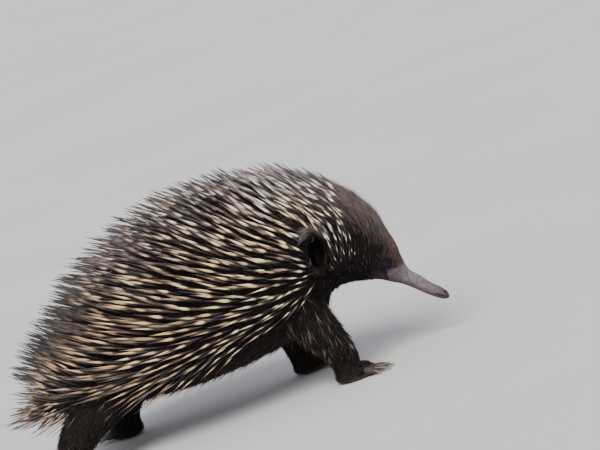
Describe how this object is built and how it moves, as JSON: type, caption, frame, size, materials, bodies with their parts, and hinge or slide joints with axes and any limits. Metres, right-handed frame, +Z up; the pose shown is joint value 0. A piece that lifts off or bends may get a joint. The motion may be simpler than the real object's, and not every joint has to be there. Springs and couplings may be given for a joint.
{
  "type": "short-beaked echidna",
  "caption": "Still, life-size short-beaked echidna walking with its beak held low, spines laid back over a rounded body, on four clawed feet.",
  "frame": {"origin": "on the floor, under the middle of the animal's length and width, spines and claws included", "axes": "+X the way the beak points, +Y to the animal's left, +Z up"},
  "size_m": [0.4426, 0.2304, 0.229],
  "materials": {
    "beak_skin": "bare, fine-grained skin",
    "spiny_coat": "horn spines, cream with dark tips, in black-brown fur",
    "leg_fur": "short coarse black-brown fur",
    "paw": "dark bare skin and horn claws",
    "eye": "wet black",
    "ear_skin": "dark bare skin"
  },
  "bodies": {
    "root": {"beak": "beak_skin", "head": "spiny_coat", "neck": "spiny_coat", "torso": "spiny_coat", "tail": "spiny_coat", "foreleg_right": "leg_fur", "foreleg_left": "leg_fur", "hindleg_right": "leg_fur", "hindleg_left": "leg_fur", "forefoot_right": "paw", "forefoot_left": "paw", "hindfoot_right": "paw", "hindfoot_left": "paw", "eye_right": "eye", "eye_left": "eye", "ear_right": "ear_skin", "ear_left": "ear_skin"}
  },
  "joints": []
}
